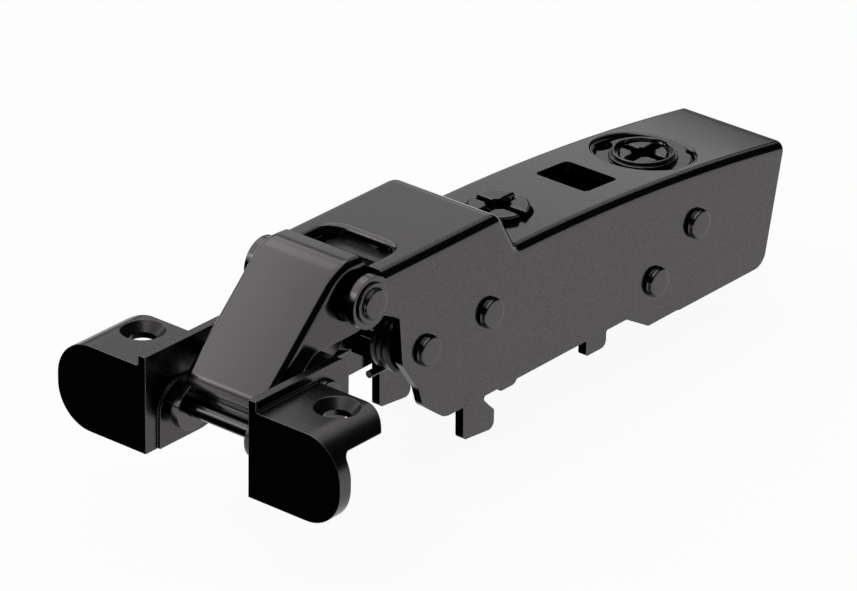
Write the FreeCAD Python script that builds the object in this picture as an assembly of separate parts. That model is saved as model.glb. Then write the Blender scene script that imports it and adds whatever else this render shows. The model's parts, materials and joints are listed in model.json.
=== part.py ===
import FreeCAD, Part
import math
import os

# Concealed hinge for narrow aluminium frame doors, in its open position.
# Lengths are millimetres. X runs from the door feet back along the arm, Y across, Z up.
# Everything is drawn about the front pivot of the arm, and export() moves it so that
# the origin lies midway between the two door screws, on the seat face of the feet.

V = FreeCAD.Vector

# Places of the pivots and pins, as (x, z) in the drawing frame
ARM_FRONT_PIVOT = (0.0, 0.0)
ARM_REAR_PIVOT = (10.8, -10.5)
FOOT_FRONT_PIVOT = (-16.8, -13.0)
FOOT_REAR_PIVOT = (-9.9, -9.2)
FRONT_PIN = (23.2, -9.8)
LOWER_REAR_PIN = (57.6, -17.9)
UPPER_REAR_PIN = (66.2, -12.5)
LEVER_PIN = (74.6, -16.8)

# Door screws and the export offset
SCREW_SPACING = 32.0
SCREW_X = -14.6
SEAT_Z = -8.5

# Arm housing, folded from sheet
SHEET = 1.2
ARM_HALF = 9.0
ARM_BEND = 1.3
ARM_TOP = 3.2
STRIP_FRONT = 2.65
STEP_X = 25.4
STEP_FOOT = (28.8, -2.55)
REAR_TOP_MIDDLE = (56.8, -2.83)
REAR_TOP_RADIUS = 370.0
REAR_END = 85.0
REAR_BOTTOM = -24.1
MAIN_BOTTOM = -21.4
LUG_RADIUS = 3.5
NOTCH_REAR = 9.5
NOTCH_HALF = 5.5
OVERLAY_X = 35.6
OVERLAY_HEAD_R = 4.15
OVERLAY_HOLE_R = 4.6
WINDOW_X = (48.3, 55.1)
WINDOW_HALF = 4.3
WINDOW_CORNER = 0.8
DEPTH_X = 65.9
DEPTH_HOLE_R = 6.7
DEPTH_LIP = 0.6

# Pins: shank radii, running clearance and formed heads
PIN_R = 1.5
FOOT_PIN_R = 1.1
RUNNING_GAP = 0.05
HEAD_R = 2.1
HEAD_PROUD = 0.9
HEAD_CHAMFER = 0.25
BASE_R = 2.75
BASE_HIGH = 0.35
SIDE_GAP = 0.15

# Outer link
LINK_HALF = 6.65
LINK_BEND = 1.1
LINK_TOP = (-3.19, 5.35)
LINK_ROLL_END = (1.0, 5.1)
LINK_ROLL_R = 6.0
LINK_CURL = (-18.55, -9.38)
LINK_CURL_R = 1.6
LINK_CURL_END = (-15.7, -11.02)
LINK_EYE_R = 3.0

# Feet
FOOT_FRONT = -22.4
FOOT_PLATE = 2.0
FOOT_INNER = 8.48
FOOT_WALL = 1.17
FOOT_WALL_TOP = -5.06
FOOT_WALL_REAR = -5.0
PAD_FRONT = -20.15
PAD_TOP = -9.9
PAD_INNER = 8.08
FOOT_TOP = -6.5
FOOT_BOTTOM = -18.4
FOOT_OUTER = 23.25
FLANGE_REAR = -11.0
FLANGE_CORNER = 6.0
SCREW_HEAD_R = 2.95
SCREW_HOLE_R = 1.75

# Inner link
STRAP = 1.8
STRAP_HALF = 2.4
BAR_HALF = 5.2

# Torsion springs: turns of wire side by side
SPRING_WIRE = 0.5
SPRING_MEAN = 3.6
SPRING_FIRST = 3.4
SPRING_PITCH = 1.0
SPRING_TURNS = 3

# Clip carrier
CARRIER_HALF = 7.65
CARRIER_SHEET = 1.3
CARRIER_WEB_TOP = -9.6


def rounded(corners, closed=True):
    """Edges through corners (a, b, radius) in the XZ plane, each corner rounded by a tangent arc."""
    points = [V(a, 0, b) for a, b, radius in corners]
    count = len(points)
    pieces = []
    for i, (a, b, radius) in enumerate(corners):
        if radius == 0 or (not closed and i in (0, count - 1)):
            pieces.append((points[i], points[i], None))
            continue
        before = (points[i - 1] - points[i]).normalize()
        after = (points[(i + 1) % count] - points[i]).normalize()
        half = before.getAngle(after) / 2
        reach = radius / math.tan(half)
        start = points[i] + before * reach
        end = points[i] + after * reach
        toward = (before + after).normalize()
        middle = points[i] + toward * (radius / math.sin(half) - radius)
        pieces.append((start, end, Part.Arc(start, middle, end).toShape()))
    edges = []
    for i in range(count):
        start, end, arc = pieces[i]
        if arc:
            edges.append(arc)
        if i < count - 1 or closed:
            target = pieces[(i + 1) % count][0]
            if end.distanceToPoint(target) > 1e-6:
                edges.append(Part.LineSegment(end, target).toShape())
    return edges


def slab(corners, y0, y1):
    """Prism of a rounded XZ outline between two Y planes."""
    face = Part.Face(Part.Wire(rounded(corners)))
    face.translate(V(0, y0, 0))
    return face.extrude(V(0, y1 - y0, 0))


def plan_slab(corners, z0, z1):
    """Prism of a rounded XY outline between two Z planes."""
    shape = slab(corners, 0, z1 - z0)
    shape.rotate(V(0, 0, 0), V(1, 0, 0), -90)
    shape.translate(V(0, 0, z1))
    return shape


def front_slab(corners, x0, x1):
    """Prism of a rounded YZ outline between two X planes."""
    shape = slab(corners, 0, x1 - x0)
    shape.rotate(V(0, 0, 0), V(0, 0, 1), 90)
    shape.translate(V(x1, 0, 0))
    return shape


def both_sides(corners, y0, y1):
    """The same XZ outline as two plates, one on each side of the middle plane."""
    return Part.makeCompound([slab(corners, y0, y1), slab(corners, -y1, -y0)])


def offset(path, distance):
    """Open path of (x, z, radius) moved to its right by distance, radii kept concentric."""
    moved = []
    last = len(path) - 1
    for i, (x, z, radius) in enumerate(path):
        into = out = None
        if i > 0:
            into = V(x - path[i - 1][0], 0, z - path[i - 1][1]).normalize()
        if i < last:
            out = V(path[i + 1][0] - x, 0, path[i + 1][1] - z).normalize()
        into = into or out
        out = out or into
        right_in = V(into.z, 0, -into.x)
        right_out = V(out.z, 0, -out.x)
        shift = (right_in + right_out).normalize()
        shift = shift * (distance / shift.dot(right_in))
        turn = into.x * out.z - into.z * out.x
        new_radius = radius
        if radius > 0:
            new_radius = radius + math.copysign(distance, turn)
        moved.append((x + shift.x, z + shift.z, new_radius))
    return moved


def band(path, thickness):
    """Closed outline of a strip that follows an open path, with its thickness on the right."""
    return path + offset(path, thickness)[::-1]


def rod(place, radius, y0, y1):
    """Cylinder along Y at place (x, z)."""
    return Part.makeCylinder(radius, y1 - y0, V(place[0], y0, place[1]), V(0, 1, 0))


def ring(place, outer, inner, y0, y1):
    """Washer or sleeve along Y."""
    return rod(place, outer, y0, y1).cut(rod(place, inner, y0 - 1, y1 + 1))


def post(x, y, radius, z0, z1):
    """Cylinder along Z."""
    return Part.makeCylinder(radius, z1 - z0, V(x, y, z0))


def box(x0, x1, y0, y1, z0, z1):
    return Part.makeBox(x1 - x0, y1 - y0, z1 - z0, V(x0, y0, z0))


def edges_where(shape, test):
    """Edges whose middle point satisfies the test."""
    found = []
    for edge in shape.Edges:
        middle = edge.valueAt((edge.FirstParameter + edge.LastParameter) / 2)
        if test(middle):
            found.append(edge)
    return found


def rivet(place, shank, head, half, base=0):
    """Pin along Y through walls ending at half, with a formed head at each end, on a base if it has one."""
    shape = rod(place, shank, -half, half)
    if base:
        shape = rod(place, base, -half - BASE_HIGH, half + BASE_HIGH).cut(rod(place, base + 1, -half, half))
        shape = shape.fuse(rod(place, shank, -half, half))
    for y0 in (-half - HEAD_PROUD, half):
        end = rod(place, head, y0, y0 + HEAD_PROUD)
        rim = [edge for edge in end.Edges if abs(edge.CenterOfMass.y) > half + HEAD_PROUD - 0.01]
        shape = shape.fuse(end.makeChamfer(HEAD_CHAMFER, rim))
    return shape.removeSplitter()


def arm_top_path():
    """Top line of the arm from the strips at the front to the rear end."""
    return [(STRIP_FRONT, ARM_TOP, 0), (STEP_X, ARM_TOP, 3.0), (STEP_FOOT[0], STEP_FOOT[1], 1.2),
            (REAR_TOP_MIDDLE[0], REAR_TOP_MIDDLE[1], REAR_TOP_RADIUS), (REAR_END, -7.3, 0)]


def arm_housing():
    """Folded sheet housing: a U open below, with lugs for the front pivot and a notched front."""
    top = arm_top_path()
    lower = [(81.4, REAR_BOTTOM, 2.3), (62.9, REAR_BOTTOM, 1.2), (58.2, MAIN_BOTTOM + 0.1, 1.2),
             (14.6, MAIN_BOTTOM - 0.1, 3.2), (10.2, -18.2, 1.8), (9.3, -15.4, 2.0), (6.1, -10.9, 1.6),
             (5.4, -4.0, 0.8), (3.0, -2.9, 0), (1.4, -1.0, 0), (STRIP_FRONT, 1.0, 0)]
    block = slab(top + lower, -ARM_HALF, ARM_HALF)
    top_edges = edges_where(block, lambda p: abs(abs(p.y) - ARM_HALF) < 1e-3 and on_top(p))
    block = block.makeFillet(ARM_BEND, top_edges)
    inside = offset(top, SHEET)
    inside[0] = (-30.0, inside[0][1], 0)
    inside[-1] = (110.0, inside[-1][1] - 3.9, 0)
    void = slab(inside + [(110.0, -60.0, 0), (-30.0, -60.0, 0)], -ARM_HALF + SHEET, ARM_HALF - SHEET)
    shape = block.cut(void)
    for y0, y1 in ((-ARM_HALF, -ARM_HALF + SHEET), (ARM_HALF - SHEET, ARM_HALF)):
        shape = shape.fuse(rod(ARM_FRONT_PIVOT, LUG_RADIUS, y0, y1))
    shape = shape.removeSplitter()
    notch = plan_slab([(-20, -NOTCH_HALF, 0), (NOTCH_REAR, -NOTCH_HALF, 2.6),
                       (NOTCH_REAR, NOTCH_HALF, 2.6), (-20, NOTCH_HALF, 0)], -1, 8)
    shape = shape.cut(notch)
    rim = edges_where(shape, lambda p: abs(p.z - ARM_TOP) < 1e-3 and abs(p.y) < NOTCH_HALF + 0.01
                      and p.x < NOTCH_REAR + 0.01)
    shape = shape.makeFillet(0.8, rim)
    shape = shape.cut(post(OVERLAY_X, 0, OVERLAY_HOLE_R, -10, 5))
    front, rear = WINDOW_X
    window = [(front, -WINDOW_HALF, WINDOW_CORNER), (rear, -WINDOW_HALF, WINDOW_CORNER),
              (rear, WINDOW_HALF, WINDOW_CORNER), (front, WINDOW_HALF, WINDOW_CORNER)]
    shape = shape.cut(plan_slab(window, -10, 5))
    shape = shape.cut(post(DEPTH_X, 0, DEPTH_HOLE_R, -10, 5))
    shape = shape.makeFillet(DEPTH_LIP, edges_where(shape, on_depth_lip))
    for pin in (ARM_FRONT_PIVOT, ARM_REAR_PIVOT, FRONT_PIN, LOWER_REAR_PIN, UPPER_REAR_PIN):
        shape = shape.cut(rod(pin, PIN_R, -20, 20))
    return shape


def on_depth_lip(p):
    """True on the upper edge of the hole for the depth screw."""
    away = math.hypot(p.x - DEPTH_X, p.y)
    sheet_middle = -5.1 - 0.11 * (p.x - DEPTH_X)
    return abs(away - DEPTH_HOLE_R) < 1e-3 and p.z > sheet_middle


def on_top(p):
    """True on the top line of the arm, front flat, step and rear arc, and not on its walls' ends."""
    if p.x < STEP_X - 3:
        return p.z > ARM_TOP - 0.01
    if p.x < STEP_FOOT[0] + 1:
        return p.z > STEP_FOOT[1] - 0.2
    return p.z > -7.25 and p.x < REAR_END - 1


def outer_link():
    """Pressed link: a web rolled over the front pivot and curled at its foot end, with two ears."""
    web_path = [LINK_CURL_END + (0,), LINK_CURL + (LINK_CURL_R,), LINK_TOP + (LINK_ROLL_R,), LINK_ROLL_END + (0,)]
    behind = [(3.0, 0.0, 0), (1.9, -4.8, 2.6), (-8.0, -4.8, 2.5), (-13.9, -9.6, 1.5), (-15.1, -9.98, 0)]
    block = slab(web_path + behind, -LINK_HALF, LINK_HALF)
    block = block.makeFillet(LINK_BEND, edges_where(block, on_link_web))
    web = slab(band(web_path, SHEET), -LINK_HALF, LINK_HALF)
    hollow = box(-40, 20, -LINK_HALF + SHEET, LINK_HALF - SHEET, -40, 20).cut(web)
    shape = block.cut(hollow)
    ear_end = [(-16.3, -9.1, 0), (-18.43, -10.48, 0), FOOT_FRONT_PIVOT + (0,), (-13.82, -12.7, 0), (-13.9, -9.6, 0)]
    for y0, y1 in ((-LINK_HALF, -LINK_HALF + SHEET), (LINK_HALF - SHEET, LINK_HALF)):
        shape = shape.fuse(slab(ear_end, y0, y1))
        shape = shape.fuse(rod(FOOT_FRONT_PIVOT, LINK_EYE_R, y0, y1))
        shape = shape.fuse(rod(ARM_FRONT_PIVOT, LINK_EYE_R, y0, y1))
    shape = shape.removeSplitter()
    shape = shape.cut(rod(ARM_FRONT_PIVOT, PIN_R + RUNNING_GAP, -20, 20))
    return shape.cut(rod(FOOT_FRONT_PIVOT, FOOT_PIN_R + RUNNING_GAP, -20, 20))


def on_link_web(p):
    """True on the two long outlines of the link's web, from its roll to its curled end."""
    slope = (LINK_TOP[1] - LINK_CURL[1]) / (LINK_TOP[0] - LINK_CURL[0])
    above = p.z - (LINK_TOP[1] + slope * (p.x - LINK_TOP[0]))
    outer = above > -1.0 or p.x < LINK_CURL_END[0] - 0.1
    return abs(abs(p.y) - LINK_HALF) < 1e-3 and outer and p.x < LINK_ROLL_END[0] - 0.1


def foot():
    """Cast foot on the +Y side: front plate, flange for the door screw and pivot wall."""
    plate = [(FOOT_INNER, FOOT_WALL_TOP, 0), (FOOT_INNER + FOOT_WALL, FOOT_WALL_TOP, 0),
             (FOOT_INNER + FOOT_WALL, FOOT_TOP, 0.4), (FOOT_OUTER, FOOT_TOP, 5.45),
             (FOOT_OUTER, FOOT_BOTTOM, 5.4), (FOOT_INNER, FOOT_BOTTOM, 0)]
    front = front_slab(plate, FOOT_FRONT, FOOT_FRONT + FOOT_PLATE)
    flange = front_slab(plate, FOOT_FRONT, FLANGE_REAR)
    flange = flange.common(box(FOOT_FRONT, 0, FOOT_INNER, 40, SEAT_Z, 0))
    corner = plan_slab([(FOOT_FRONT, 0, 0), (FLANGE_REAR, 0, 0), (FLANGE_REAR, FOOT_OUTER, FLANGE_CORNER),
                        (FOOT_FRONT, FOOT_OUTER, 0)], -20, 0)
    flange = flange.common(corner)
    wall = slab([(FOOT_FRONT, FOOT_WALL_TOP, 0), (FOOT_WALL_REAR, FOOT_WALL_TOP, 2.0),
                 (FOOT_WALL_REAR, FOOT_BOTTOM, 8.0), (FOOT_FRONT, FOOT_BOTTOM, 0)],
                FOOT_INNER, FOOT_INNER + FOOT_WALL)
    pad = slab([(PAD_FRONT, PAD_TOP, 3.9), (FOOT_WALL_REAR, PAD_TOP, 0), (FOOT_WALL_REAR, FOOT_BOTTOM, 8.0),
                (PAD_FRONT, FOOT_BOTTOM, 0)], PAD_INNER, FOOT_INNER)
    shape = front.fuse(flange).fuse(wall).fuse(pad).removeSplitter()
    inner = edges_where(shape, lambda p: abs(p.z - SEAT_Z) < 1e-3
                        and abs(p.x - FOOT_FRONT - FOOT_PLATE) < 1e-3)
    shape = shape.makeFillet(1.0, inner)
    y = SCREW_SPACING / 2
    shape = shape.cut(post(SCREW_X, y, SCREW_HOLE_R, -20, 0))
    depth = SCREW_HEAD_R - SCREW_HOLE_R
    sink = Part.makeCone(SCREW_HOLE_R, SCREW_HEAD_R, depth, V(SCREW_X, y, FOOT_TOP - depth))
    shape = shape.cut(sink)
    shape = shape.cut(rod(FOOT_REAR_PIVOT, 2.7, FOOT_INNER + FOOT_WALL, 11.0))
    for pin in (FOOT_FRONT_PIVOT, FOOT_REAR_PIVOT):
        shape = shape.cut(rod(pin, FOOT_PIN_R, 0, 20))
    return shape


def mirrored(shape):
    """The same shape on the -Y side."""
    return shape.mirror(V(0, 0, 0), V(0, 1, 0))


def inner_link():
    """Strap from the rear foot pin to an open hook over the rear arm pivot."""
    path = [(FOOT_REAR_PIVOT[0], -8.0, 0), (0.4, -8.0, 2.0), (2.6, -3.8, 2.6), (14.5, -3.8, 3.6),
            (14.5, -14.1, 2.9), (9.6, -14.1, 0)]
    strap = slab(band(path, STRAP), -STRAP_HALF, STRAP_HALF)
    bar = slab([(FOOT_REAR_PIVOT[0], -8.0, 0), (-2.0, -8.0, 0), (-2.0, -8.0 - STRAP, 0),
                (FOOT_REAR_PIVOT[0], -8.0 - STRAP, 0)], -BAR_HALF, BAR_HALF)
    eye = rod(FOOT_REAR_PIVOT, 2.5, -BAR_HALF, BAR_HALF)
    shape = strap.fuse(bar).fuse(eye).removeSplitter()
    return shape.cut(rod(FOOT_REAR_PIVOT, FOOT_PIN_R + RUNNING_GAP, -20, 20))


def torsion_spring():
    """Three close turns of wire round the rear arm pivot, with two legs, on the +Y side."""
    x, z = ARM_REAR_PIVOT
    last = SPRING_FIRST + SPRING_PITCH * (SPRING_TURNS - 1)
    shape = rod((x, z + SPRING_MEAN), SPRING_WIRE * 0.9, SPRING_FIRST, last)
    for i in range(SPRING_TURNS):
        y = SPRING_FIRST + SPRING_PITCH * i
        sides = [V(x + SPRING_MEAN + (SPRING_WIRE + 0.03) * math.cos(math.tau * (k + 0.5) / 6),
                   y + (SPRING_WIRE + 0.03) * math.sin(math.tau * (k + 0.5) / 6), z) for k in range(6)]
        section = Part.Face(Part.makePolygon(sides + sides[:1]))
        shape = shape.fuse(section.revolve(V(x, y, z), V(0, 1, 0), 360))
    leg_start = V(x, last, z + SPRING_MEAN)
    leg_end = V(FRONT_PIN[0] + 1.5, last, FRONT_PIN[1] + PIN_R + SPRING_WIRE - 0.02)
    along = leg_end - leg_start
    shape = shape.fuse(Part.makeCylinder(SPRING_WIRE, along.Length, leg_start, along))
    tail = Part.makeCylinder(SPRING_WIRE, 4.6, V(x, SPRING_FIRST, z - SPRING_MEAN), V(-1, 0, 0))
    return shape.fuse(tail)


def spring_bush():
    """Moulded bush that carries one torsion spring on the rear arm pivot, on the +Y side."""
    shape = rod(ARM_REAR_PIVOT, 2.9, 2.7, 6.4).fuse(rod(ARM_REAR_PIVOT, 2.4, 6.4, ARM_HALF - SHEET))
    return shape.cut(rod(ARM_REAR_PIVOT, PIN_R, 0, 20))


def clip_carrier():
    """Folded carrier that clips onto the mounting plate: hooks in front, tabs and skirts behind."""
    y0, y1 = CARRIER_HALF - CARRIER_SHEET, CARRIER_HALF
    side = [(19.6, -12.4, 1.0), (28.6, -12.4, 1.5), (30.6, CARRIER_WEB_TOP, 1.0), (72.0, CARRIER_WEB_TOP, 2.0),
            (79.0, -13.5, 2.0), (79.0, -21.5, 2.0), (74.0, -23.6, 1.5), (70.0, -25.0, 1.0),
            (58.2, -25.1, 0.8), (53.4, -22.4, 0.8), (49.2, -22.4, 0.4), (49.2, -24.7, 1.0),
            (45.0, -24.7, 0.4), (45.0, -20.6, 0.6), (30.8, -20.6, 0.6), (30.8, -23.1, 1.0),
            (26.8, -23.1, 1.0), (26.8, -21.6, 0.4), (25.0, -21.6, 0.3), (24.0, -23.0, 0.4),
            (25.2, -24.25, 0.3), (26.2, -25.2, 0.6), (26.2, -27.9, 1.0), (20.0, -27.3, 0.7),
            (19.8, -16.0, 1.0)]
    shape = both_sides(side, y0, y1)
    web = box(31.1, 47.5, -y1, y1, CARRIER_WEB_TOP - CARRIER_SHEET, CARRIER_WEB_TOP)
    rear_web = box(57.5, 73.0, -y1, y1, CARRIER_WEB_TOP - CARRIER_SHEET, CARRIER_WEB_TOP)
    shape = web.fuse(shape.Solids).fuse(rear_web)
    slot_end = OVERLAY_X + 3.5
    slot = plan_slab([(30.0, -2.4, 0), (slot_end, -2.4, 2.35), (slot_end, 2.4, 2.35), (30.0, 2.4, 0)], -12, -9)
    shape = shape.cut(slot)
    cross = plan_slab([(DEPTH_X - 1.55, -4.2, 1.5), (DEPTH_X + 1.55, -4.2, 1.5),
                       (DEPTH_X + 1.55, 4.2, 1.5), (DEPTH_X - 1.55, 4.2, 1.5)], -12, -9)
    shape = shape.cut(cross)
    x, z = LOWER_REAR_PIN
    shape = shape.cut(slab([(x - 3.4, z - 2.0, 1.9), (x + 3.4, z - 2.0, 1.9), (x + 3.4, z + 2.0, 1.9),
                            (x - 3.4, z + 2.0, 1.9)], -20, 20))
    x, z = UPPER_REAR_PIN
    shape = shape.cut(slab([(x - 4.2, z - 1.75, 0.3), (x + 4.2, z - 1.75, 0.3), (x + 4.2, z + 1.75, 0.3),
                            (x - 4.2, z + 1.75, 0.3)], -20, 20))
    return shape.cut(rod(LEVER_PIN, PIN_R, -20, 20))


def slide_block():
    """Flat sided sleeve on the upper rear pin, on which the carrier slides and tips."""
    x, z = UPPER_REAR_PIN
    half = CARRIER_HALF
    body = slab([(x - 2.5, z - 1.7, 0.3), (x + 2.5, z - 1.7, 0.3), (x + 2.5, z + 1.7, 0.3),
                 (x - 2.5, z + 1.7, 0.3)], -half, half)
    return body.cut(rod(UPPER_REAR_PIN, PIN_R + RUNNING_GAP, -20, 20))


def cross_recess(x, width, reach, middle, z0, z1):
    """Cross shaped recess along X and Y that opens to a wider eight sided middle."""
    along = box(x - reach, x + reach, -width / 2, width / 2, z0, z1)
    across = box(x - width / 2, x + width / 2, -reach, reach, z0, z1)
    corners = []
    for k in range(8):
        turn = math.tau * (k + 0.5) / 8
        corners.append((x + middle * math.cos(turn), middle * math.sin(turn), 0))
    return along.fuse(across).fuse(plan_slab(corners, z0, z1))


def overlay_screw():
    """Screw through the arm's top with four raised quadrants and a foot held by the carrier."""
    head = post(OVERLAY_X, 0, OVERLAY_HEAD_R, -4.4, -1.6)
    head = head.makeChamfer(0.35, edges_where(head, lambda p: p.z > -1.61))
    shape = head.cut(cross_recess(OVERLAY_X, 1.6, 5.0, 2.1, -3.3, 0))
    shape = shape.fuse(post(OVERLAY_X, 0, 2.45, -8.6, -4.4))
    shape = shape.fuse(post(OVERLAY_X, 0, 1.6, -12.0, -8.6))
    return shape.fuse(post(OVERLAY_X, 0, 3.0, -13.4, -12.0)).removeSplitter()


def overlay_bush():
    """Threaded bush under the top sheet for the overlay screw."""
    shape = post(OVERLAY_X, 0, 5.9, -7.4, -4.1)
    shape = shape.cut(post(OVERLAY_X, 0, OVERLAY_HOLE_R, -4.6, 0))
    return shape.cut(post(OVERLAY_X, 0, 2.5, -20, 0))


def depth_screw():
    """Turning cam for the depth: a disc, a stepped collar round four quadrants, and an offset peg."""
    shape = post(DEPTH_X, 0, DEPTH_HOLE_R - 0.25, -7.4, -5.5)
    shape = shape.fuse(post(DEPTH_X, 0, 4.6, -5.5, -5.0))
    shape = shape.fuse(post(DEPTH_X, 0, 4.25, -5.0, -4.5))
    shape = shape.cut(post(DEPTH_X, 0, 3.8, -4.95, -4.0))
    shape = shape.cut(cross_recess(DEPTH_X, 1.9, 3.8, 2.1, -6.8, -4.0))
    return shape.fuse(post(DEPTH_X, -1.5, 1.2, -10.4, -7.4)).removeSplitter()


def damper_cylinder():
    """Closing damper under the top sheet, moulded with its seat plate."""
    z = -0.45
    body = Part.makeCylinder(2.45, 10.6, V(12.8, 0, z), V(1, 0, 0))
    seat = box(12.8, 22.6, -4.5, 4.5, 1.0, ARM_TOP - SHEET)
    bore = Part.makeCylinder(0.85, 7.6, V(12.0, 0, z), V(1, 0, 0))
    return body.fuse(seat).removeSplitter().cut(bore)


def damper_rod():
    return Part.makeCylinder(0.8, 6.0, V(10.0, 0, -0.45), V(1, 0, 0))


def damper_slider():
    """Slider in the notch that the outer link presses on as the door closes: a plate with a raised rear lip."""
    plate = plan_slab([(6.6, -4.6, 0.6), (9.1, -4.6, 1.8), (9.1, 4.6, 1.8), (6.6, 4.6, 0.6)], 0.9, 1.65)
    lip = box(8.8, 9.1, -2.7, 2.7, 1.6, 1.85)
    stem = box(7.3, 9.0, -3.0, 3.0, -2.9, 1.0)
    return plate.fuse(lip).fuse(stem).removeSplitter()


def release_lever():
    """Lever between the carrier's skirts that frees the hinge from its plate."""
    x, z = LEVER_PIN
    side = [(x - 3.0, z + 3.0, 2.6), (x + 3.0, z + 3.0, 2.6), (x + 3.4, z - 5.0, 1.5), (x - 6.0, z - 7.2, 1.0),
            (x - 6.5, z - 5.4, 0.7), (x - 3.0, z - 4.0, 2.0)]
    body = slab(side, -5.9, 5.9)
    body = body.cut(box(x - 10, x + 10, -3.2, 3.2, z - 3.4, z + 8))
    return body.cut(rod(LEVER_PIN, PIN_R + RUNNING_GAP, -20, 20))


def make_parts():
    """All sub-parts by node name."""
    foot_shape = foot()
    spring = torsion_spring()
    ear = LINK_HALF
    parts = {
        "arm_housing": arm_housing(),
        "outer_link_arm_pin": rivet(ARM_FRONT_PIVOT, PIN_R, HEAD_R, ARM_HALF, BASE_R),
        "inner_link_arm_pin": rivet(ARM_REAR_PIVOT, PIN_R, HEAD_R, ARM_HALF),
        "front_pin": rivet(FRONT_PIN, PIN_R, HEAD_R, ARM_HALF),
        "lower_rear_pin": rivet(LOWER_REAR_PIN, PIN_R, HEAD_R, ARM_HALF),
        "upper_rear_pin": rivet(UPPER_REAR_PIN, PIN_R, HEAD_R, ARM_HALF),
        "arm_washer_left": ring(ARM_FRONT_PIVOT, 3.1, PIN_R, ear + SIDE_GAP, ARM_HALF - SHEET),
        "torsion_spring_left": spring,
        "torsion_spring_right": mirrored(spring),
        "spring_bush_left": spring_bush(),
        "overlay_bush": overlay_bush(),
        "overlay_screw": overlay_screw(),
        "depth_screw": depth_screw(),
        "damper_cylinder": damper_cylinder(),
        "damper_rod": damper_rod(),
        "damper_slider": damper_slider(),
        "slide_block": slide_block(),
        "clip_carrier": clip_carrier(),
        "release_lever": release_lever(),
        "lever_pin": rod(LEVER_PIN, PIN_R, -CARRIER_HALF, CARRIER_HALF),
        "outer_link": outer_link(),
        "inner_link": inner_link(),
        "left_foot": foot_shape,
        "right_foot": mirrored(foot_shape),
        "outer_link_foot_pin": rivet(FOOT_FRONT_PIVOT, FOOT_PIN_R, 2.0, FOOT_INNER + FOOT_WALL),
        "inner_link_foot_pin": rivet(FOOT_REAR_PIVOT, FOOT_PIN_R, 2.6, FOOT_INNER + FOOT_WALL),
        "foot_washer_left": ring(FOOT_FRONT_PIVOT, 2.3, FOOT_PIN_R, ear + SIDE_GAP, PAD_INNER),
    }
    parts["spring_bush_right"] = mirrored(parts["spring_bush_left"])
    parts["arm_washer_right"] = mirrored(parts["arm_washer_left"])
    parts["foot_washer_right"] = mirrored(parts["foot_washer_left"])
    return parts


def export(parts):
    """Write each node, moved so that the origin is midway between the door screws."""
    os.makedirs("parts", exist_ok=True)
    for name, shape in parts.items():
        moved = shape.copy()
        moved.translate(V(-SCREW_X, 0, -SEAT_Z))
        moved.exportStep("parts/" + name + ".step")


if __name__ == "__main__":
    export(make_parts())
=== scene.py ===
import json
import math

import bmesh
import bpy
import numpy as np
from mathutils import Matrix, Vector


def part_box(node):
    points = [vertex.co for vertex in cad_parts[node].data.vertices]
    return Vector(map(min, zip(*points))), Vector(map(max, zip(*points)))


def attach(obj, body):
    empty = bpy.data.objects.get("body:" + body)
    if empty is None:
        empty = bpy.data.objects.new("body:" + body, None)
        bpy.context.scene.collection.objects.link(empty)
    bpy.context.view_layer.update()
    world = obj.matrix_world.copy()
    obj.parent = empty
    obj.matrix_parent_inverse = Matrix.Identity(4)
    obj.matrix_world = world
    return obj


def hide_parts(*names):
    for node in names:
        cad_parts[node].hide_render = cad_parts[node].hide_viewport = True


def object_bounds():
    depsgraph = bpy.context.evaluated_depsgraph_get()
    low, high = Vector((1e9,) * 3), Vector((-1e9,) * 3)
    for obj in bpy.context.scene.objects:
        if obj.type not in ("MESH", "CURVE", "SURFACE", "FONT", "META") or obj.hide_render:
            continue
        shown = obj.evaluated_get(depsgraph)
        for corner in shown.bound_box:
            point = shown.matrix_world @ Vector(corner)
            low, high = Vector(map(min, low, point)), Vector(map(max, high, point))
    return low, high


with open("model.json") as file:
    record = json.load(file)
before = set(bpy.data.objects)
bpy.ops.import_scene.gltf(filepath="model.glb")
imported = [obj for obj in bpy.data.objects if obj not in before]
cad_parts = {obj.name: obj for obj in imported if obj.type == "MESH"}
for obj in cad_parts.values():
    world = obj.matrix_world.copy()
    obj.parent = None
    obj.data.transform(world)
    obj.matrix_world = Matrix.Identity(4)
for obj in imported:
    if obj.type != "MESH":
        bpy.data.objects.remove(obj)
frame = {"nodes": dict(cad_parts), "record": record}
CAD_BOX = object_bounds()

bl_info = {
    "name": "Concealed hinge finishes",
    "version": (1, 0, 0),
    "blender": (4, 5, 0),
    "location": "View3D > Sidebar > Hinge",
    "description": "Builds the visible pieces of a concealed hinge round its CAD frame",
    "category": "Object",
}

MM = 0.001
SLOT_OF = {part["node"]: part["material_slot"] for part in frame["record"]["subparts"]}
BODY_OF = {node: body for body, nodes in frame["record"]["behaviour"]["bodies"].items() for node in nodes}

# Points of a new mesh closer than this, in metres, become one, and edges over this angle stay sharp
WELD_DISTANCE = 1e-7
SHARP_DEGREES = 35

# The lengths of the pieces are in millimetres, in a drawing frame whose origin is the arm's front pivot.
# This is that origin's place in the scene.
DRAWN = np.array([14.6, 0.0, 8.5])

# Rivets: places across the hinge of the faces that the heads stand on, radii of the shanks, and radii of the
# front pivot's own head and base ring
ARM_SIDE = 9.0
FOOT_WALL = 9.65
ARM_SHANK = 1.5
FOOT_SHANK = 1.1
PIVOT_HEAD = 2.1
PIVOT_BASE = 2.75
# Small forms of a rivet: its base ring, the inset of its face, the groove, which stands at a share of the
# head's height, and the rounding and middle of the rings' outer corners
BASE_THICKNESS = 0.35
FACE_INSET = 0.12
GROOVE_SHARE = 0.42
GROOVE_RADIUS = 0.11
GROOVE_INSET = 0.02
RING_ROUNDING = 0.12
RING_RISE = 0.14
RIVET_TURNS = 48

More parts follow.
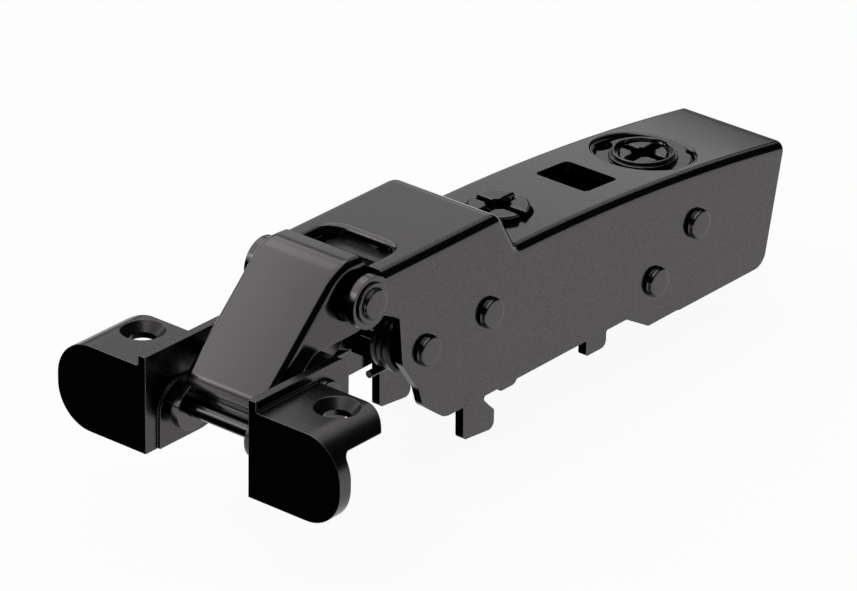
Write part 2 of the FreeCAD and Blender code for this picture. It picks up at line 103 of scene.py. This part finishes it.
# Adjusting screws: place of the axis, profile of (radius, height) from the middle of the face down and back
# to the axis, shape of the cross, and its depth
OVERLAY_X = 35.6
OVERLAY_PROFILE = [(0, -1.7), (3.85, -1.7), (4.07, -1.78), (4.15, -2.0), (4.15, -4.4), (2.45, -4.4),
                   (2.45, -8.6), (1.6, -8.6), (1.6, -12.0), (3.0, -12.0), (3.0, -13.4), (0, -13.4)]
OVERLAY_CROSS = {"width": 1.25, "middle": 1.5, "reach": 5.0}
OVERLAY_SINK = {"top": -1.7, "floor": -3.3, "chamfer": 0.22}
DEPTH_X = 65.9
DEPTH_PROFILE = [(0, -4.8), (3.1, -4.8), (3.4, -5.1), (3.8, -5.1), (3.8, -4.6), (3.9, -4.5),
                 (4.15, -4.5), (4.25, -4.6), (4.25, -5.0), (4.5, -5.0), (4.6, -5.1), (4.6, -5.5),
                 (6.3, -5.5), (6.45, -5.65), (6.45, -7.2), (7.2, -7.2), (7.2, -7.6), (0, -7.6)]
DEPTH_CROSS = {"width": 1.35, "middle": 1.45, "reach": 3.8}
DEPTH_SINK = {"top": -4.8, "floor": -6.8, "chamfer": 0.2}
# Radii of the depth screw's collar, and notches in its disc as (middle from the axis, radius)
COLLAR_INSIDE = 3.9
COLLAR_OUTSIDE = 4.7
NOTCHES = (((-1.0, 6.7), 1.7), ((5.6, -4.0), 0.9))
NOTCH_SINK = {"top": -5.5, "floor": -7.1, "chamfer": 0.08}
# Slant of a recess's wall, longest step between points of a profile, and points in a whole turn
WALL_DRAFT = 0.12
PROFILE_STEP = 0.09
SCREW_TURNS = 240

# Curl of the outer link: middle and radii of its bend, angles from +X in degrees, ends of its two faces from
# the bend's last outer point, and its rows across the link
CURL_MIDDLE = (-15.9, -13.4)
CURL_OUTSIDE = 2.35
CURL_INSIDE = 1.65
CURL_ANGLES = (80, -20)
CURL_POINTS = 9
CURL_OUTER_END = (0.1, -0.6)
CURL_INNER_END = (-0.6, -0.4)
CURL_ROWS = (-5.3, -5.2, 5.2, 5.3)

# Greys of painted shade in hollows, on -X faces, under lower edges and on the feet's fronts, and greys and
# depth of the steel's turning marks
HOLLOW_SHADE_GREY = 0.002
FRONT_SHADE_GREY = 0.002
LOWER_EDGE_SHADE_GREY = 0.004
FOOT_FRONT_SHADE_GREY = 0.0012
STEEL_GREYS = (0.42, 0.56)
STEEL_GRAIN = 2e-6

# Stage: half the floor's side in metres, its gap under the hinge in millimetres, and grey of the room
FLOOR_REACH = 8
FLOOR_GAP = 0.02
ROOM_GREY = 0.02
# Height of the direction looked in, from where the gloss sees white to where it sees the dim room
HORIZON = (0.0, 0.05)
# Lamps: name, direction towards the lamp, width in degrees and radiance
LAMPS = (
    ("back_lamp", (0.69, 0.57, 0.30), 20, 0.86),
    ("wide_lamp", (-0.10, 0.50, 0.86), 92, 1.3),
    ("roll_lamp", (0.24, 0.57, 0.785), 18, 0.5),
    ("rim_lamp", (0.69, 0.28, 0.64), 34, 0.6),
    ("curl_lamp", (-0.74, 0.57, 0.38), 28, 1.4),
)

# Camera: sensor width and focal length in millimetres, nearest and furthest distance and place in metres,
# and its right, up and back
CAMERA_SENSOR = 36.0
CAMERA_LENS = 262.65
CAMERA_CLIP = (0.01, 50.0)
CAMERA_PLACE = (-0.51570, -0.45642, 0.34798)
CAMERA_AXES = ((0.64239, -0.76624, 0.01424), (0.32770, 0.29143, 0.89871), (-0.69278, -0.57266, 0.43831))


class Value:
    """A shader output. Python's operators on it add Math nodes to its finish."""

    def __init__(self, finish, output):
        self.finish = finish
        self.output = output

    def math(self, operation, *terms):
        """Math node of an operation on shader outputs and plain numbers."""
        return self.finish.node("ShaderNodeMath", {"operation": operation}, dict(enumerate(terms)))

    def __add__(self, other):
        return self.math("ADD", self, other)

    def __sub__(self, other):
        return self.math("SUBTRACT", self, other)

    def __rsub__(self, other):
        return self.math("SUBTRACT", other, self)

    def __mul__(self, other):
        return self.math("MULTIPLY", self, other)

    __radd__ = __add__
    __rmul__ = __mul__


class Finish:
    """One material and its node tree."""

    ending = "Material Output"

    def __init__(self, name):
        self.material = bpy.data.materials.new(name + "_finish")
        self.material.use_nodes = True
        self.tree = self.material.node_tree
        self.shader = self.tree.nodes["Principled BSDF"]
        self.place = self.node("ShaderNodeTexCoord", output="Object")

    def feed(self, socket, value):
        """Link a shader output to a socket, or set the socket to a plain value."""
        if isinstance(value, Value):
            self.tree.links.new(value.output, socket)
        else:
            socket.default_value = value

    def node(self, kind, settings=None, sockets=None, output=0):
        """Add a node of a type: settings first, then values or links of its sockets."""
        made = self.tree.nodes.new(kind)
        for name, value in (settings or {}).items():
            setattr(made, name, value)
        for key, value in (sockets or {}).items():
            self.feed(made.inputs[key], value)
        return Value(self, made.outputs[output])

    def set(self, **sockets):
        """Values or links of the shader's sockets, with spaces written as underscores."""
        for name, value in sockets.items():
            self.feed(self.shader.inputs[name.replace("_", " ")], value)

    def surface(self, value):
        """Use a shader output as the surface of the material or the world."""
        self.feed(self.tree.nodes[self.ending].inputs["Surface"], value)

    def noise(self, size, detail=2.0, stretch=(1, 1, 1)):
        """Noise with features of a size in metres, longer along an axis where stretch is above 1."""
        scale = [1 / (size * s) for s in stretch]
        moved = self.node("ShaderNodeMapping", {}, {"Vector": self.place, "Scale": scale})
        return self.node("ShaderNodeTexNoise", {}, {"Vector": moved, "Scale": 1.0, "Detail": detail})

    def band(self, value, low, high):
        """Value from 0 at low to 1 at high, smooth between and held outside."""
        return self.node("ShaderNodeMapRange", {"interpolation_type": "SMOOTHSTEP"},
                         {"Value": value, "From Min": low, "From Max": high})

    def mix(self, mask, first, second):
        """Colour from first where the mask is 0 to second where it is 1."""
        return self.node("ShaderNodeMix", {"data_type": "RGBA"}, {0: mask, 6: first, 7: second}, 2)

    def mottled(self, mask, tone, share):
        """Grey round a tone: a share darker where the mask is 0, and a share lighter where it is 1."""
        return self.mix(mask, grey(tone * (1 - share)), grey(tone * (1 + share)))

    def along(self, vector, axis):
        """Length of a vector along an axis or another vector."""
        return self.node("ShaderNodeVectorMath", {"operation": "DOT_PRODUCT"}, {0: vector, 1: axis}, "Value")

    def facing(self, axis):
        """Part of the true normal along an axis of the object, from -1 to 1."""
        return self.along(self.node("ShaderNodeTexCoord", output="Normal"), axis)

    def ease(self, radius):
        """Normal rounded over sharp edges, and a mask that rises there."""
        eased = self.node("ShaderNodeBevel", {"samples": 6}, {"Radius": radius})
        true = self.node("ShaderNodeNewGeometry", output="Normal")
        return eased, self.band(1 - self.along(eased, true), 0.01, 0.12)

    def bump(self, height, depth, normal=None):
        """Normal pushed by a height from 0 to 1, depth metres deep."""
        sockets = {"Height": height, "Distance": depth, "Strength": 1.0}
        if normal:
            sockets["Normal"] = normal
        return self.node("ShaderNodeBump", {}, sockets)

    def painted_hollow_shade(self, tone, reach, low, high):
        """Colour with painted shade: it turns nearly black in hollows narrower than the reach.

        The open share of a point is 1 on open surfaces. The colour goes dark as it falls from high to low.
        """
        share = self.node("ShaderNodeAmbientOcclusion", {"samples": 8}, {"Distance": reach}, "AO")
        return self.mix(self.band(share, low, high), grey(HOLLOW_SHADE_GREY), tone)

    def rays(self, name):
        """1 for light paths of a kind, and 0 for the others."""
        return self.node("ShaderNodeLightPath", output=name)


class Surround(Finish):
    """The world's node tree, in which place is the direction that is looked in."""

    ending = "World Output"

    def __init__(self, world):
        world.use_nodes = True
        self.tree = world.node_tree
        self.place = self.node("ShaderNodeTexCoord", output="Generated")


def grey(level):
    """Grey with a trace of warmth."""
    return (level, level * 0.935, level * 0.955, 1.0)


def coated_sheet():
    """Dark plated coat: fine speckle, a painted highlight on edges, and painted shade on cut ends and other
    faces turned to -X, under lower edges and in hollows.
    """
    kit = bpy.context.scene.hinge_finishes
    finish = Finish("black_coat")
    cloud = finish.noise(9 * MM, 3.0)
    speck = finish.noise(0.16 * MM, 2.0)
    grain = finish.noise(0.22 * MM, 3.0)
    eased, edge = finish.ease(kit.sheet_easing)
    # Painted shade: faces turned to -X get a nearly black grey and lose their metallic gloss
    front = finish.band(finish.facing((-1, 0, 0)), 0.88, 0.96)
    # Painted shade: a dark line under edges whose rounded normal points down
    underside_shade = finish.band(finish.along(eased, (0, 0, -1)), 0.1, 0.4)
    # Lighter grey for random specks, and for a painted highlight on edges
    speck_and_edge_highlight = grey(kit.coat_tone * 1.5)
    tone = finish.mottled(cloud, kit.coat_tone, share=0.08)
    tone = finish.mix(finish.band(speck, 0.35, 0.65), tone, speck_and_edge_highlight)
    # Painted highlight along sharp edges
    tone = finish.mix(edge * 0.6, tone, speck_and_edge_highlight)
    # Painted shade under lower edges
    tone = finish.mix(underside_shade, tone, grey(LOWER_EDGE_SHADE_GREY))
    # Painted shade on cut ends and other faces turned to -X
    tone = finish.mix(front, tone, grey(FRONT_SHADE_GREY))
    # Painted shade: hollows go nearly black
    tone = finish.painted_hollow_shade(tone, kit.hollow_shade_reach, 0.1, 0.5)
    finish.set(Base_Color=tone, Metallic=1 - front, Specular_IOR_Level=0.0,
               Roughness=kit.coat_gloss + cloud * 0.03 + speck * 0.04,
               Normal=finish.bump(grain, kit.grain_depth, eased))
    return finish.material


def cast_feet():
    """Cast and painted feet: front faces deep black from painted shade, grey flanges, and a painted
    highlight on thin edges.
    """
    kit = bpy.context.scene.hinge_finishes
    finish = Finish("cast_black")
    grain = finish.noise(0.3 * MM, 4.0)
    fine = finish.noise(0.12 * MM, 2.0)
    eased, edge = finish.ease(kit.cast_easing)
    # Painted shade: faces turned to -X get a nearly black grey and lose their metallic gloss
    front = finish.band(finish.facing((-1, 0, 0)), 0.5, 0.9)
    tone = finish.mottled(fine, kit.cast_tone, share=0.2)
    # Painted shade on the front faces
    tone = finish.mix(front, tone, grey(FOOT_FRONT_SHADE_GREY))
    # Painted shade: hollows go nearly black
    tone = finish.painted_hollow_shade(tone, kit.hollow_shade_reach, 0.15, 0.6)
    # Painted highlight along the feet's sharp edges
    tone = finish.mix(edge * 0.7, tone, grey(kit.cast_edge_highlight))
    finish.set(Base_Color=tone, Metallic=1 - front, Specular_IOR_Level=0.0,
               Roughness=0.22 + grain * 0.10,
               Normal=finish.bump(grain * 0.7 + fine * 0.3, kit.grain_depth, eased))
    return finish.material


def polished_link():
    """Outer link: smoother than the arm, with painted light that makes it lighter towards its far side, a
    painted highlight on its edges, painted shade in hollows, and fine pressing lines along it.
    """
    kit = bpy.context.scene.hinge_finishes
    finish = Finish("link_black")
    cloud = finish.noise(7 * MM, 2.0)
    lines = finish.noise(0.12 * MM, 2.0, stretch=(14, 1, 14))
    across = finish.node("ShaderNodeSeparateXYZ", {}, {"Vector": finish.place}, "Y")
    eased, edge = finish.ease(kit.sheet_easing)
    # Painted light: the link goes from darker on its near side to lighter on its far side
    far = finish.band(across, -7 * MM, 7 * MM)
    tone = finish.mix(far, grey(kit.link_tone * 0.75), grey(kit.link_tone * 1.15))
    tone = finish.mix(cloud * 0.5, tone, grey(kit.link_tone))
    # Painted highlight along sharp edges
    tone = finish.mix(edge * 0.5, tone, grey(kit.link_tone * 2.0))
    # Painted shade: hollows go nearly black
    tone = finish.painted_hollow_shade(tone, kit.hollow_shade_reach, 0.2, 0.6)
    finish.set(Base_Color=tone, Metallic=1.0, Roughness=0.12 + lines * 0.05 + cloud * 0.03,
               Normal=finish.bump(lines, kit.grain_depth * 0.3, eased))
    return finish.material


def drawn_wire():
    """Spring wire with fine drawing lines."""
    kit = bpy.context.scene.hinge_finishes
    finish = Finish("spring_wire")
    streak = finish.noise(0.2 * MM, 2.0, stretch=(1, 8, 1))
    finish.set(Base_Color=finish.mottled(streak, kit.wire_tone, share=0.3), Metallic=1.0,
               Roughness=0.25 + streak * 0.12, Normal=finish.bump(streak, kit.grain_depth * 0.5))
    return finish.material


def moulded_plastic():
    """Black moulded plastic with a fine eroded texture."""
    kit = bpy.context.scene.hinge_finishes
    finish = Finish("black_plastic")
    cloud = finish.noise(3 * MM, 2.0)
    grain = finish.noise(0.15 * MM, 3.0)
    finish.set(Base_Color=finish.mottled(cloud, kit.plastic_tone, share=0.15), Roughness=0.17 + grain * 0.1,
               Normal=finish.bump(grain, kit.grain_depth * 0.8))
    return finish.material


def ground_steel():
    """Bright piston rod with turning marks round it."""
    finish = Finish("piston_steel")
    ring = finish.noise(0.1 * MM, 2.0, stretch=(1, 12, 12))
    dark, light = STEEL_GREYS
    finish.set(Base_Color=finish.mix(ring, grey(dark), grey(light)), Metallic=1.0,
               Roughness=0.2 + ring * 0.12, Normal=finish.bump(ring, STEEL_GRAIN))
    return finish.material


def floor_paper():
    """White floor that keeps a faint shadow, and shows white in the view and in gloss."""
    kit = bpy.context.scene.hinge_finishes
    finish = Finish("floor_paper")
    paper = finish.noise(0.4, 2.0)
    tone = finish.mix(paper, grey(kit.floor_tone), grey(kit.floor_tone * 1.02))
    finish.set(Base_Color=tone, Roughness=0.9, Specular_IOR_Level=0.0)
    seen = finish.rays("Is Camera Ray") + finish.rays("Is Glossy Ray") + finish.rays("Is Transmission Ray")
    glow = finish.node("ShaderNodeEmission", {}, {"Color": (1, 1, 1, 1), "Strength": 1.0})
    plain = Value(finish, finish.shader.outputs[0])
    finish.surface(finish.node("ShaderNodeMixShader", {}, {0: seen * kit.floor_white, 1: plain, 2: glow}))
    return finish.material


MAKERS = {
    "black_coat": coated_sheet,
    "cast_black": cast_feet,
    "link_black": polished_link,
    "spring_wire": drawn_wire,
    "black_plastic": moulded_plastic,
    "piston_steel": ground_steel,
}
FINISHES = {}


def finish_for(slot):
    """The material of a slot, made the first time it is asked for."""
    if slot not in FINISHES:
        FINISHES[slot] = MAKERS[slot]()
    return FINISHES[slot]


def dress(piece, node):
    """Give a new piece the slot's material and the body of the node it stands for."""
    slot = SLOT_OF[node]
    piece.data.materials.append(finish_for(slot))
    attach(piece, BODY_OF[node])
    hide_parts(node)


def piece_from_grid(name, points, caps=False):
    """Mesh of a grid of points, shape (u, v, 3) in metres, with quads between neighbours.

    Each row closes on itself, and caps closes the first and last row with one face each.
    """
    rows, columns = points.shape[:2]
    index = np.arange(rows * columns).reshape(rows, columns)
    row, column = np.meshgrid(np.arange(rows - 1), np.arange(columns), indexing="ij")
    after = (column + 1) % columns
    quads = [index[row, column], index[row + 1, column], index[row + 1, after], index[row, after]]
    faces = np.stack(quads, axis=-1).reshape(-1, 4).tolist()
    if caps:
        faces += [index[0].tolist(), index[-1][::-1].tolist()]
    mesh = bpy.data.meshes.new(name)
    mesh.from_pydata(points.reshape(-1, 3).tolist(), [], faces)
    made = bmesh.new()
    made.from_mesh(mesh)
    bmesh.ops.remove_doubles(made, verts=made.verts, dist=WELD_DISTANCE)
    bmesh.ops.recalc_face_normals(made, faces=made.faces)
    made.to_mesh(mesh)
    made.free()
    mesh.shade_smooth()
    mesh.set_sharp_from_angle(angle=math.radians(SHARP_DEGREES))
    piece = bpy.data.objects.new(name, mesh)
    bpy.context.scene.collection.objects.link(piece)
    return piece


def full_turn(count):
    """Angles of a whole turn, as one row."""
    return np.linspace(0, math.tau, count, endpoint=False)[None, :]


def rounded_corner(middle, radius, start, end, count):
    """Points on an arc about middle, from angle start to end in degrees: middle + r (cos t, sin t)."""
    t = np.radians(np.linspace(start, end, count))
    return np.stack([middle[0] + radius * np.cos(t), middle[1] + radius * np.sin(t)], axis=-1)


def rivet_side(head, shank, wall, end, base, rim):
    """Profile (radius, y) of one end of a rivet, from the middle of its face down to its shank, in mm.

    The face rounds over a rim, a groove parts the head from its foot ring, and a base ring may lie under it.
    """
    foot = wall + (BASE_THICKNESS if base else 0.0)
    neck = foot + GROOVE_SHARE * (end - foot)
    parts = [
        [(0.0, end), (0.5 * head, end)],
        rounded_corner((head - rim - FACE_INSET, end - rim), rim, 90, 0, 6),
        rounded_corner((head - GROOVE_INSET, neck), GROOVE_RADIUS, 90, 270, 7),
        rounded_corner((head - RING_ROUNDING, foot + RING_RISE), RING_ROUNDING, 90, 0, 4),
        [(head, foot)],
    ]
    if base:
        parts.append(rounded_corner((base - RING_ROUNDING, foot - RING_ROUNDING), RING_ROUNDING, 90, 0, 4))
        parts.append([(base, wall)])
    parts.append([(shank, wall)])
    return np.concatenate([np.asarray(part, float) for part in parts])


def turned_rivet(node, wall, shank, head=None, base=None):
    """Both ends of a rivet joined by its shank, turned about the pin's axis: x = r cos t, z = r sin t.

    The axis is the middle of the node's box, and the head is as wide as the box unless it is given.
    """
    kit = bpy.context.scene.hinge_finishes
    low, high = (np.array(corner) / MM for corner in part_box(node))
    head = head or (high[0] - low[0]) / 2
    side = rivet_side(head, shank, wall, high[1], base, kit.rivet_rim / MM)
    profile = np.concatenate([side, side[::-1] * (1, -1)])
    x, z = (low[0] + high[0]) / 2, (low[2] + high[2]) / 2
    t = full_turn(RIVET_TURNS)
    radius, y = profile[:, :1], profile[:, 1:]
    points = np.stack([x + radius * np.cos(t), y + 0 * t, z + radius * np.sin(t)], axis=-1) * MM
    dress(piece_from_grid(node + "_turned", points), node)


def stepped(profile):
    """Profile of (radius, z) with points added so that none lie more than a step apart."""
    profile = np.asarray(profile, float)
    rows = [profile[:1]]
    for start, end in zip(profile[:-1], profile[1:]):
        count = max(1, math.ceil(np.hypot(*(end - start)) / PROFILE_STEP))
        share = np.linspace(0, 1, count + 1)[1:, None]
        rows.append(start + (end - start) * share)
    return np.concatenate(rows)


def from_cross(x, y, width, middle, reach):
    """Distance in mm from a cross of two bars with an eight sided middle, negative inside."""
    x, y = np.abs(x), np.abs(y)
    along = np.maximum(y - width / 2, x - reach)
    across = np.maximum(x - width / 2, y - reach)
    centre = np.maximum(np.maximum(x, y), (x + y) / math.sqrt(2)) - middle
    return np.minimum(np.minimum(along, across), centre)


def recess(away, top, floor, chamfer):
    """Height of a recess by the distance from its outline: chamfer outside, steep wall inside, floor."""
    lip = top - chamfer
    return np.where(away > 0, lip + away, np.maximum(floor, lip + away * (lip - floor) / WALL_DRAFT))


def overlay_carve(x, y):
    """Height of the overlay screw's recess by the place from its axis."""
    return recess(from_cross(x, y, **OVERLAY_CROSS), **OVERLAY_SINK)


def depth_carve(x, y):
    """Height of the depth screw's recess and its disc's notches by the place from its axis.

    The cross is sunk inside the collar and the notches outside it. The collar lies under 0 and stays whole.
    """
    from_axis = np.hypot(x, y)
    height = recess(from_cross(x, y, **DEPTH_CROSS), **DEPTH_SINK)
    for middle, radius in NOTCHES:
        notch = recess(np.hypot(x - middle[0], y - middle[1]) - radius, **NOTCH_SINK)
        height = np.where(from_axis > COLLAR_OUTSIDE, np.minimum(height, notch), height)
    return np.where((from_axis > COLLAR_INSIDE) & (from_axis <= COLLAR_OUTSIDE), 0.0, height)


def turned_screw(node, x, profile, carve):
    """Profile of (radius, z) turned about the Z line at x, its height held under carve(x, y)."""
    profile = stepped(profile)
    t = full_turn(SCREW_TURNS)
    across, along = profile[:, :1] * np.cos(t), profile[:, :1] * np.sin(t)
    height = np.minimum(profile[:, 1:] + 0 * t, np.maximum(carve(across, along), profile[-1, 1]))
    points = (np.stack([x + across, along, height], axis=-1) + DRAWN) * MM
    dress(piece_from_grid(node + "_turned", points), node)


class HingeFinishes(bpy.types.PropertyGroup):
    """Tones and sizes of the visible pieces."""

    coat_tone: bpy.props.FloatProperty(
        name="Coat tone", description="Reflected share of the dark coat",
        default=0.066, min=0.0, max=1.0, precision=3, subtype="FACTOR")
    coat_gloss: bpy.props.FloatProperty(
        name="Coat gloss", description="Least roughness of the coat",
        default=0.11, min=0.0, max=1.0, precision=3, subtype="FACTOR")
    cast_tone: bpy.props.FloatProperty(
        name="Cast tone", description="Reflected share of the feet",
        default=0.075, min=0.0, max=1.0, precision=3, subtype="FACTOR")
    # Grey of the painted highlight on the feet's edges
    cast_edge_highlight: bpy.props.FloatProperty(
        name="Cast edge", description="Reflected share on the feet's edges",
        default=0.18, min=0.0, max=1.0, precision=3, subtype="FACTOR")
    link_tone: bpy.props.FloatProperty(
        name="Link tone", description="Reflected share of the outer link",
        default=0.085, min=0.0, max=1.0, precision=3, subtype="FACTOR")
    wire_tone: bpy.props.FloatProperty(
        name="Wire tone", description="Reflected share of the spring wire",
        default=0.03, min=0.0, max=1.0, precision=3, subtype="FACTOR")
    plastic_tone: bpy.props.FloatProperty(
        name="Plastic tone", description="Reflected share of the moulded pieces",
        default=0.012, min=0.0, max=1.0, precision=3, subtype="FACTOR")
    floor_tone: bpy.props.FloatProperty(
        name="Floor tone", description="Reflected share of the floor",
        default=0.93, min=0.0, max=1.0, precision=3, subtype="FACTOR")
    floor_white: bpy.props.FloatProperty(
        name="Floor white", description="Share of pure white in the floor as seen",
        default=0.94, min=0.0, max=1.0, precision=3, subtype="FACTOR")
    # Reach of the painted shade in hollows
    hollow_shade_reach: bpy.props.FloatProperty(
        name="Hollow", description="Width of the hollows that stay dark",
        default=4 * MM, min=0.0, precision=6, unit="LENGTH")
    grain_depth: bpy.props.FloatProperty(
        name="Grain depth", description="Depth of the coat's grain",
        default=2e-6, min=0.0, precision=6, unit="LENGTH")
    sheet_easing: bpy.props.FloatProperty(
        name="Sheet easing", description="Rounding of sheet edges",
        default=0.15 * MM, min=0.0, precision=6, unit="LENGTH")
    cast_easing: bpy.props.FloatProperty(
        name="Cast easing", description="Rounding of cast edges",
        default=0.18 * MM, min=0.0, precision=6, unit="LENGTH")
    rivet_rim: bpy.props.FloatProperty(
        name="Rivet rim", description="Rounding of the rivets' rims",
        default=0.22 * MM, min=0.0, precision=6, unit="LENGTH")


class HINGE_OT_rivets(bpy.types.Operator):
    """Turn the rivets, with rounded faces and a groove under each head"""

    bl_idname = "hinge.rivets"
    bl_label = "Rivets"

    def execute(self, context):
        turned_rivet("outer_link_arm_pin", ARM_SIDE, ARM_SHANK, PIVOT_HEAD, PIVOT_BASE)
        for node in ("inner_link_arm_pin", "front_pin", "lower_rear_pin", "upper_rear_pin"):
            turned_rivet(node, ARM_SIDE, ARM_SHANK)
        for node in ("outer_link_foot_pin", "inner_link_foot_pin"):
            turned_rivet(node, FOOT_WALL, FOOT_SHANK)
        return {"FINISHED"}


class HINGE_OT_screws(bpy.types.Operator):
    """Turn the two adjusting screws and sink their crosses"""

    bl_idname = "hinge.screws"
    bl_label = "Adjusting screws"

    def execute(self, context):
        turned_screw("overlay_screw", OVERLAY_X, OVERLAY_PROFILE, overlay_carve)
        turned_screw("depth_screw", DEPTH_X, DEPTH_PROFILE, depth_carve)
        return {"FINISHED"}


class HINGE_OT_curl(bpy.types.Operator):
    """Carry the outer link's lower curl on behind the foot pin"""

    bl_idname = "hinge.curl"
    bl_label = "Link curl"

    def execute(self, context):
        outer = rounded_corner(CURL_MIDDLE, CURL_OUTSIDE, *CURL_ANGLES, CURL_POINTS)
        inner = rounded_corner(CURL_MIDDLE, CURL_INSIDE, *CURL_ANGLES, CURL_POINTS)
        ends = outer[-1] + [CURL_OUTER_END, CURL_INNER_END]
        outline = np.concatenate([outer, ends, inner[::-1]])
        y = np.array(CURL_ROWS)[:, None]
        points = np.stack([outline[:, 0] + 0 * y, y + 0 * outline[:, 0], outline[:, 1] + 0 * y], axis=-1)
        piece = piece_from_grid("outer_link_curl", (points + DRAWN) * MM, caps=True)
        piece.data.materials.append(finish_for("link_black"))
        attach(piece, "link")
        return {"FINISHED"}


class HINGE_OT_carried(bpy.types.Operator):
    """Give every CAD node that still shows its finish"""

    bl_idname = "hinge.carried"
    bl_label = "Carried-over nodes"

    def execute(self, context):
        for node, piece in frame["nodes"].items():
            if not piece.hide_render:
                piece.data.materials.clear()
                piece.data.materials.append(finish_for(SLOT_OF[node]))
        return {"FINISHED"}


def studio_world():
    """Dim room that looks white to the eye, and white in gloss up to a little above the floor's horizon."""
    world = bpy.data.worlds.new("studio")
    room = Surround(world)
    height = room.node("ShaderNodeSeparateXYZ", {}, {"Vector": room.place}, "Z")
    low = 1 - room.band(height, *HORIZON)
    seen = room.rays("Is Camera Ray") + (room.rays("Is Glossy Ray") + room.rays("Is Transmission Ray")) * low
    dim, white = (room.node("ShaderNodeBackground", {}, {"Color": (level, level, level, 1), "Strength": 1.0})
                  for level in (ROOM_GREY, 1.0))
    room.surface(room.node("ShaderNodeMixShader", {}, {0: seen, 1: dim, 2: white}))
    return world


def sun(name, toward, width, radiance):
    """Soft lamp at infinity: a disc width degrees across in direction toward, with that radiance."""
    lamp = bpy.data.lights.new(name, "SUN")
    lamp.angle = math.radians(width)
    lamp.energy = radiance * math.tau * (1 - math.cos(math.radians(width / 2)))
    holder = bpy.data.objects.new(name, lamp)
    holder.rotation_euler = Vector(toward).to_track_quat("Z", "Y").to_euler()
    bpy.context.scene.collection.objects.link(holder)


class HINGE_OT_stage(bpy.types.Operator):
    """Make the floor, the soft lamps, the world and the camera"""

    bl_idname = "hinge.stage"
    bl_label = "Stage"

    def execute(self, context):
        scene = context.scene
        far, low = FLOOR_REACH, CAD_BOX[0].z - FLOOR_GAP * MM
        mesh = bpy.data.meshes.new("floor")
        corners = [(-far, -far, low), (far, -far, low), (far, far, low), (-far, far, low)]
        mesh.from_pydata(corners, [], [(0, 1, 2, 3)])
        floor = bpy.data.objects.new("floor", mesh)
        scene.collection.objects.link(floor)
        mesh.materials.append(floor_paper())
        for lamp in LAMPS:
            sun(*lamp)
        scene.world = studio_world()
        camera = bpy.data.objects.new("camera", bpy.data.cameras.new("camera"))
        scene.collection.objects.link(camera)
        camera.data.sensor_width = CAMERA_SENSOR
        camera.data.lens = CAMERA_LENS
        camera.data.clip_start, camera.data.clip_end = CAMERA_CLIP
        turn = Matrix(CAMERA_AXES).transposed()
        camera.matrix_world = Matrix.Translation(CAMERA_PLACE) @ turn.to_4x4()
        scene.camera = camera
        scene.view_settings.view_transform = "Standard"
        return {"FINISHED"}


class HINGE_PT_panel(bpy.types.Panel):
    """Lists the hinge's steps and values"""

    bl_label = "Concealed hinge"
    bl_space_type = "VIEW_3D"
    bl_region_type = "UI"
    bl_category = "Hinge"

    def draw(self, context):
        for step in STEPS:
            self.layout.operator(step.bl_idname)
        for name in HingeFinishes.__annotations__:
            self.layout.prop(context.scene.hinge_finishes, name)


STEPS = (HINGE_OT_rivets, HINGE_OT_screws, HINGE_OT_curl, HINGE_OT_carried, HINGE_OT_stage)
CLASSES = (HingeFinishes,) + STEPS + (HINGE_PT_panel,)


def register():
    for item in CLASSES:
        bpy.utils.register_class(item)
    bpy.types.Scene.hinge_finishes = bpy.props.PointerProperty(type=HingeFinishes)


def unregister():
    del bpy.types.Scene.hinge_finishes
    for item in reversed(CLASSES):
        bpy.utils.unregister_class(item)


def main():
    """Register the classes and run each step."""
    register()
    for step in STEPS:
        group, name = step.bl_idname.split(".")
        getattr(getattr(bpy.ops, group), name)()


if __name__ == "__main__":
    main()
